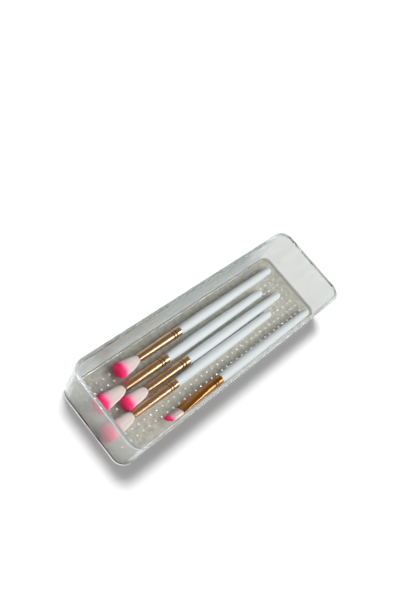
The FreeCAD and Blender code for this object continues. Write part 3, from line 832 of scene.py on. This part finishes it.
def hair_tree():
    """Geometry Nodes: fan many hairs out of a ferrule's mouth into a head of a given outline."""
    tree, add, given = geometry_tree("hair_head", {
        "Hairs": "Int", "Length": "Float", "Root Depth": "Float", "Thickness": "Float",
        "Mouth Half Size": "Vector", "Bulge Half Size": "Vector", "Widest Half Size": "Vector",
        "Tip Half Size": "Vector", "Bulge Place": "Float", "Widest Place": "Float",
        "Dome": "Float", "Slant": "Float", "Uneven Length": "Float", "Stray": "Float",
        "Seed": "Int",
    })

    # one straight hair from 0 to 1 along X, three-sided, and closed at both ends
    line = add("GeometryNodeCurvePrimitiveLine", {"Start": (0, 0, 0), "End": (1, 0, 0)})
    points = add("GeometryNodeResampleCurve", {"Curve": line, "Count": 9})
    section = add("GeometryNodeCurvePrimitiveCircle", {"Resolution": 3, "Radius": 1.0})
    hair = add(
        "GeometryNodeCurveToMesh", {"Curve": points, "Profile Curve": section, "Fill Caps": True}
    )

    # where each hair stands in the bundle: a sunflower pattern fills the disc evenly
    index = add("GeometryNodeInputIndex")
    share = add("ShaderNodeMath", {0: index, 1: 0.5}, operation="ADD")
    share = add("ShaderNodeMath", {0: share, 1: given["Hairs"]}, operation="DIVIDE")
    out = add("ShaderNodeMath", {0: share}, operation="SQRT")
    turn = add("ShaderNodeMath", {0: index, 1: GOLDEN_ANGLE}, operation="MULTIPLY")
    across = add("ShaderNodeMath", {0: turn}, operation="COSINE")
    up = add("ShaderNodeMath", {0: turn}, operation="SINE")
    way = add("ShaderNodeCombineXYZ", {"X": 1.0, "Y": across, "Z": up})
    spot = add("ShaderNodeVectorMath", {0: way, "Scale": out}, operation="SCALE")
    roots = add("GeometryNodePoints", {"Count": given["Hairs"]})
    for name, kind, value in (("spot", "FLOAT_VECTOR", spot), ("hair", "INT", index)):
        roots = add(
            "GeometryNodeStoreNamedAttribute",
            {"Geometry": roots, "Name": name, "Value": value}, data_type=kind, domain="POINT",
        )
    hairs = add("GeometryNodeInstanceOnPoints", {"Points": roots, "Instance": hair})
    real = add("GeometryNodeRealizeInstances", {"Geometry": hairs})

    # what a point of a hair knows: its own draws, its root's spot, and how far along it is
    own = add("GeometryNodeInputNamedAttribute", {"Name": "hair"}, data_type="INT")
    draws = []
    for number, (low, high) in enumerate(((-1, 0.3), (-1, 1), (-1, 1), (-0.5, 0.5)), start=1):
        seed = add("ShaderNodeMath", {0: given["Seed"], 1: number}, operation="ADD")
        draws.append(add(
            "FunctionNodeRandomValue", {2: low, 3: high, "ID": own, "Seed": seed},
            data_type="FLOAT",
        ))
    shorter, stray_across, stray_up, tone = draws
    root = add("GeometryNodeInputNamedAttribute", {"Name": "spot"}, data_type="FLOAT_VECTOR")
    spot = add("ShaderNodeSeparateXYZ", {0: root}).outputs
    position = add("GeometryNodeInputPosition")
    along = add("ShaderNodeSeparateXYZ", {0: position}).outputs["X"]

    # how far out of the mouth this hair reaches: uneven, slanted, shorter towards the rim
    rim = add("ShaderNodeMath", {0: spot["X"], 1: 3.0}, operation="POWER")
    rim = add("ShaderNodeMath", {0: rim, 1: -1.0}, operation="MULTIPLY")
    reach = given["Length"]
    for size, amount in (("Uneven Length", shorter), ("Dome", rim), ("Slant", spot["Y"])):
        reach = add(
            "ShaderNodeMath", {0: given[size], 1: amount, 2: reach}, operation="MULTIPLY_ADD"
        )
    whole = add("ShaderNodeMath", {0: reach, 1: given["Root Depth"]}, operation="ADD")
    from_root = add("ShaderNodeMath", {0: along, 1: whole}, operation="MULTIPLY")
    out_of_mouth = add(
        "ShaderNodeMath", {0: from_root, 1: given["Root Depth"]}, operation="SUBTRACT"
    )

    # the head's half width and half thickness at that distance
    halves = given["Mouth Half Size"]
    for begins, ends, size in (
        (0.0, given["Bulge Place"], "Bulge Half Size"),
        (given["Bulge Place"], given["Widest Place"], "Widest Half Size"),
        (given["Widest Place"], given["Length"], "Tip Half Size"),
    ):
        part = add("ShaderNodeMapRange", {0: out_of_mouth, 1: begins, 2: ends})
        halves = add(
            "ShaderNodeMix", {0: part, VECTOR_A: halves, VECTOR_B: given[size]}, data_type="VECTOR"
        )

    # the hair's line, its stray out of that line towards its end, and its own thickness, which
    # thins to a point
    squared = add("ShaderNodeMath", {0: along, 1: 2.0}, operation="POWER")
    stray = add("ShaderNodeMath", {0: given["Stray"], 1: squared}, operation="MULTIPLY")
    lean = add("ShaderNodeCombineXYZ", {"Y": stray_across, "Z": stray_up})
    thin = add("ShaderNodeMapRange", {0: along, 1: 0.86, 2: 1.0, 3: 0.5, 4: 0.06})
    thin = add("ShaderNodeMath", {0: thin, 1: given["Thickness"]}, operation="MULTIPLY")
    place = add("ShaderNodeVectorMath", {0: root, 1: halves}, operation="MULTIPLY")
    for vector, scale in ((lean, stray), (position, thin)):
        more = add("ShaderNodeVectorMath", {0: vector, "Scale": scale}, operation="SCALE")
        place = add("ShaderNodeVectorMath", {0: place, 1: more}, operation="ADD")
    place = add("ShaderNodeSeparateXYZ", {0: place}).outputs
    # the head grows towards -X
    back = add("ShaderNodeMath", {0: out_of_mouth, 1: -1.0}, operation="MULTIPLY")
    place = add("ShaderNodeCombineXYZ", {"X": back, "Y": place["Y"], "Z": place["Z"]})

    # both are read from the straight hair, so they are kept before it is moved
    dyed = add("ShaderNodeMath", {0: out_of_mouth, 1: given["Length"]}, operation="DIVIDE")
    for name, value in (("root_to_tip", dyed), ("hair_tone", tone)):
        real = add(
            "GeometryNodeStoreNamedAttribute",
            {"Geometry": real, "Name": name, "Value": value}, data_type="FLOAT", domain="POINT",
        )
    moved = add("GeometryNodeSetPosition", {"Geometry": real, "Position": place})
    # X runs backwards along the hair, so its faces are turned to look outwards again
    outward = add("GeometryNodeFlipFaces", {0: moved})
    smooth = add("GeometryNodeSetShadeSmooth", {"Geometry": outward})
    return finish_tree(tree, smooth, given["Material"])


class BRUSHTRAY_OT_hair(bpy.types.Operator):
    """Grow the five hair heads"""

    bl_idname = "brushtray.hair"
    bl_label = "Hair"

    def execute(self, context):
        sizes, hair = context.scene.brush_tray_brush, context.scene.brush_tray_hair
        fibre = dyed_fibre(sizes)
        tree = hair_tree()
        # the outermost hairs' lines run half a hair inside each outline
        half = hair.thickness / 2
        bore = sizes.mouth / 2 - sizes.ferrule_wall - half
        wide = sizes.flat_mouth_width / 2 - sizes.ferrule_wall - half
        thin = sizes.flat_mouth_thickness / 2 - sizes.ferrule_wall - half
        for number, brush in BRUSHES.items():
            if number == FLAT_BRUSH:
                # the pressed mouth spreads this head wide and thin
                shape = {
                    "Hairs": hair.flat_count, "Dome": hair.flat_dome, "Slant": hair.slant,
                    "Mouth Half Size": (0.0, wide, thin),
                    "Bulge Half Size": (0.0, wide, hair.flat_bulge / 2),
                    "Widest Half Size": (0.0, hair.flat_width / 2, hair.flat_thickness / 2),
                    "Tip Half Size": (0.0, hair.flat_tip_width / 2, hair.flat_tip_thickness / 2),
                }
            else:
                widest = brush["head"] * MM - half
                tip = brush["head"] * MM - hair.taper
                shape = {
                    "Hairs": hair.count, "Dome": hair.dome, "Slant": 0.0,
                    "Mouth Half Size": (0.0, bore, bore),
                    "Bulge Half Size": (0.0, hair.bulge_radius, hair.bulge_radius),
                    "Widest Half Size": (0.0, widest, widest), "Tip Half Size": (0.0, tip, tip),
                }
            length = brush["hair"] * MM
            values = {
                "Length": length, "Root Depth": hair.root_depth, "Thickness": hair.thickness,
                "Bulge Place": hair.bulge_at, "Widest Place": length * WIDEST_PLACE,
                "Uneven Length": hair.uneven, "Stray": hair.stray,
                "Seed": hair.seed + 10 * number, "Material": fibre, **shape,
            }
            name = "hair_%d" % number
            head = grow(mesh_object(name, bpy.data.meshes.new(name)), tree, values)
            lay(head.data, number)
            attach(head, "brush_%d" % number)
            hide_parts("brush_%d_hair" % number)
        return {"FINISHED"}


# ---- glue plugs -----------------------------------------------------------------------------


def amber_epoxy():
    """Cast epoxy, amber and slightly cloudy; it shows only in a cut ferrule."""
    material, add = new_material("amber_cast_epoxy")
    place = add("ShaderNodeTexCoord").outputs["Object"]
    # clouds and trapped bubbles about 1 mm across
    clouds = add("ShaderNodeTexNoise", {"Vector": place, "Scale": 1000.0, "Detail": 2.0})
    colour = add(
        "ShaderNodeMix", {0: clouds, COLOUR_A: srgb("C9923F"), COLOUR_B: srgb("E0B878")},
        data_type="RGBA",
    )
    resin = add("ShaderNodeBsdfPrincipled", {"Base Color": colour, "Roughness": 0.35, "IOR": 1.55})
    add("ShaderNodeOutputMaterial", {"Surface": resin})
    return material


class BRUSHTRAY_OT_glue(bpy.types.Operator):
    """Finish the epoxy plugs that hold the hair inside the ferrules"""

    bl_idname = "brushtray.glue"
    bl_label = "Glue plugs"

    def execute(self, context):
        epoxy = amber_epoxy()
        for number in BRUSHES:
            plug = frame["nodes"]["brush_%d_glue_plug" % number]
            plug.data.materials.clear()
            plug.data.materials.append(epoxy)
        return {"FINISHED"}


# ---- stage ----------------------------------------------------------------------------------


def painted_floor(colour):
    """Matt painted board: pale, and bright enough behind the object to read as white."""
    material, add = new_material("matt_painted_board")
    place = add("ShaderNodeTexCoord").outputs["Object"]
    # stipple about 2.5 mm across, as a paint roller leaves it
    stipple = add("ShaderNodeTexNoise", {"Vector": place, "Scale": 400.0, "Detail": 2.0})
    bump = add("ShaderNodeBump", {"Height": stipple, "Strength": 0.02, "Distance": 0.0001})
    board = add("ShaderNodeBsdfDiffuse", {"Color": colour, "Normal": bump})
    # the camera, gloss and clear plastic see the board a little brighter than it lights things
    path = add("ShaderNodeLightPath").outputs
    seen = path["Is Camera Ray"]
    for ray in ("Is Glossy Ray", "Is Transmission Ray"):
        seen = add("ShaderNodeMath", {0: seen, 1: path[ray]}, operation="MAXIMUM")
    strength = add("ShaderNodeMath", {0: seen, 1: 0.11}, operation="MULTIPLY")
    white = srgb("FFFFFF")
    lift = add("ShaderNodeEmission", {"Color": white, "Strength": strength})
    lifted = add("ShaderNodeAddShader", {0: board, 1: lift})
    # away from the object, from 0.35 to 0.95 m, the board runs out into plain white for them
    away = add("ShaderNodeVectorMath", {0: place}, operation="LENGTH")
    fade = add("ShaderNodeMapRange", {0: away, 1: 0.35, 2: 0.95})
    fade = add("ShaderNodeMath", {0: fade, 1: seen}, operation="MULTIPLY")
    glow = add("ShaderNodeEmission", {"Color": white, "Strength": 1.0})
    surface = add("ShaderNodeMixShader", {0: fade, 1: lifted, 2: glow})
    add("ShaderNodeOutputMaterial", {"Surface": surface})
    return material


def soft_lamp(name, direction, distance, size, watts, lights, shaded_by=()):
    """A soft box that faces the object from a direction and lights only the given things,
    which only other given things shade, or all where none is given."""
    lamp = bpy.data.lights.new(name, "AREA")
    lamp.shape, lamp.size, lamp.size_y, lamp.energy = "RECTANGLE", *size, watts
    thing = bpy.data.objects.new(name, lamp)
    way = Vector(direction).normalized()
    thing.location = way * distance
    thing.rotation_mode = "QUATERNION"
    thing.rotation_quaternion = way.to_track_quat("Z", "Y")
    thing.visible_camera = False
    bpy.context.scene.collection.objects.link(thing)
    lit = bpy.data.collections.new("lit_by_" + name)
    for piece in lights:
        lit.objects.link(piece)
    thing.light_linking.receiver_collection = lit
    if shaded_by:
        shade = bpy.data.collections.new("shade_from_" + name)
        for piece in shaded_by:
            shade.objects.link(piece)
        thing.light_linking.blocker_collection = shade
    return thing


def studio_world():
    """A soft studio: pale low down and greyer overhead, so that metal has bands to show."""
    world = bpy.data.worlds.new("soft_studio")
    world.use_nodes = True
    world.node_tree.nodes.clear()
    add = partial(node, world.node_tree)
    way = add("ShaderNodeTexCoord").outputs["Generated"]
    up = add("ShaderNodeSeparateXYZ", {0: way}).outputs["Z"]
    seen = add("ShaderNodeValToRGB", {"Fac": up})
    set_stops(seen, (
        (0.0, srgb("F4F4F4")), (0.3, srgb("E0E0E0")), (0.55, srgb("8A8988")),
        (1.0, srgb("747371")),
    ))
    # clear plastic looks out on pale walls all round, and behind the floor's edge is white
    path = add("ShaderNodeLightPath").outputs
    for ray, colour in (("Is Transmission Ray", "E4E8E8"), ("Is Camera Ray", "FFFFFF")):
        seen = add(
            "ShaderNodeMix", {0: path[ray], COLOUR_A: seen, COLOUR_B: srgb(colour)},
            data_type="RGBA",
        )
    # what lights matt surfaces is weaker than what gloss, glass and the camera see
    strength = add("ShaderNodeMapRange", {0: path["Is Diffuse Ray"], 3: 1.0, 4: 0.4})
    sky = add("ShaderNodeBackground", {"Color": seen, "Strength": strength})
    add("ShaderNodeOutputWorld", {"Surface": sky})
    bpy.context.scene.world = world


# the camera in millimetres, as where it stands, what it aims at on the floor, and its roll
CAMERA_AT = (-310.385, -55.827, 473.906)
CAMERA_AIM = (31.587, 35.478, 0.0)
CAMERA_ROLL = 38.2067
CAMERA_LENS = 39.685


def make_camera():
    camera = bpy.data.cameras.new("camera")
    camera.sensor_width, camera.lens = 36.0, CAMERA_LENS
    camera.clip_start, camera.clip_end = 0.01, 20.0
    thing = bpy.data.objects.new("camera", camera)
    bpy.context.scene.collection.objects.link(thing)
    at, aim = Vector(CAMERA_AT) * MM, Vector(CAMERA_AIM) * MM
    thing.location = at
    thing.rotation_mode = "QUATERNION"
    roll = Quaternion((0, 0, 1), math.radians(CAMERA_ROLL))
    thing.rotation_quaternion = (aim - at).to_track_quat("-Z", "Y") @ roll
    bpy.context.scene.camera = thing


class BRUSHTRAY_OT_stage(bpy.types.Operator):
    """Make the floor, the soft lamps, the world and the camera"""

    bl_idname = "brushtray.stage"
    bl_label = "Stage"

    def execute(self, context):
        scene = context.scene
        board = painted_floor(tuple(scene.brush_tray_stage.floor))
        bm = bmesh.new()
        bmesh.ops.create_circle(bm, cap_ends=True, segments=96, radius=FLOOR_RADIUS)
        mesh = mesh_from(bm, "floor")
        mesh.transform(Matrix.Translation((0, 0, -FLOOR_GAP)))
        mesh.materials.append(board)
        floor = mesh_object("floor", mesh)
        # the same board under the tray is a sheet of its own, so that the clear plastic doesn't
        # darken it as it darkens the floor around
        sizes = scene.brush_tray_tray
        foot = tray_outline(sizes, sizes.height * math.tan(sizes.draft), steps=12)
        bm = bmesh.new()
        bm.faces.new([bm.verts.new((p.x, p.y, -SHEET_GAP)) for p in foot])
        mesh = mesh_from(bm, "floor_under_tray")
        mesh.materials.append(board)
        under = mesh_object("floor_under_tray", mesh)
        tray = bpy.data.objects["clear_tray"]
        handles, ferrules, heads = (
            [bpy.data.objects["%s_%d" % (piece, number)] for number in BRUSHES]
            for piece in ("handle", "ferrule", "hair")
        )
        brushes = handles + ferrules + heads
        # one lamp for the floor and its shadow, one for the brushes, windows for the metal and
        # the plastic to mirror, and a fill for the hair's ends, which face away from the others
        soft_lamp(
            "floor_lamp", (0.132, 0.246, 0.96), distance=3.5, size=(0.8, 0.8), watts=113.0,
            lights=[floor, tray],
        )
        brush_lamp = soft_lamp(
            "brush_lamp", (0.2, -0.5, 0.84), distance=1.4, size=(1.3, 1.3), watts=22.5,
            lights=[under, *brushes], shaded_by=brushes,
        )
        brush_lamp.visible_glossy = False
        soft_lamp(
            "metal_window", (0.578, -0.64, 0.5), distance=1.2, size=(0.5, 0.4), watts=4.3,
            lights=ferrules, shaded_by=brushes,
        )
        rim_window = soft_lamp(
            "rim_window", (0.578, -0.5, 0.62), distance=1.2, size=(0.5, 0.5), watts=8.0,
            lights=[tray],
        )
        rim_window.visible_diffuse = False
        fill = soft_lamp(
            "fill_lamp", (-0.75, -0.35, 0.56), distance=1.4, size=(0.6, 0.6), watts=18.0,
            lights=heads, shaded_by=brushes,
        )
        fill.visible_glossy = False
        studio_world()
        make_camera()
        scene.view_settings.view_transform = "Standard"
        return {"FINISHED"}


# ---- the add-on's own things ----------------------------------------------------------------


class BRUSHTRAY_PT_panel(bpy.types.Panel):
    """The tray, the brushes' pieces and the stage, each with its button"""

    bl_label = "Brush tray"
    bl_idname = "BRUSHTRAY_PT_panel"
    bl_space_type = "VIEW_3D"
    bl_region_type = "UI"
    bl_category = "Brush tray"

    def draw(self, context):
        for operator in OPERATORS:
            self.layout.operator(operator.bl_idname)
        for group in SETTINGS:
            box = self.layout.box()
            settings = getattr(context.scene, group)
            for name in settings.__annotations__:
                box.prop(settings, name)


SETTINGS = {
    "brush_tray_tray": BrushTrayTraySizes,
    "brush_tray_brush": BrushTrayBrushSizes,
    "brush_tray_hair": BrushTrayHairSizes,
    "brush_tray_stage": BrushTrayStageLook,
}
OPERATORS = (
    BRUSHTRAY_OT_tray, BRUSHTRAY_OT_handles, BRUSHTRAY_OT_ferrules, BRUSHTRAY_OT_hair,
    BRUSHTRAY_OT_glue, BRUSHTRAY_OT_stage,
)


def register():
    for group in SETTINGS.values():
        bpy.utils.register_class(group)
    for name, group in SETTINGS.items():
        setattr(bpy.types.Scene, name, PointerProperty(type=group))
    for operator in OPERATORS:
        bpy.utils.register_class(operator)
    bpy.utils.register_class(BRUSHTRAY_PT_panel)


def unregister():
    bpy.utils.unregister_class(BRUSHTRAY_PT_panel)
    for operator in reversed(OPERATORS):
        bpy.utils.unregister_class(operator)
    for name in SETTINGS:
        delattr(bpy.types.Scene, name)
    for group in SETTINGS.values():
        bpy.utils.unregister_class(group)


def main():
    register()
    bpy.ops.brushtray.tray()
    bpy.ops.brushtray.handles()
    bpy.ops.brushtray.ferrules()
    bpy.ops.brushtray.hair()
    bpy.ops.brushtray.glue()
    bpy.ops.brushtray.stage()


if __name__ == "__main__":
    main()
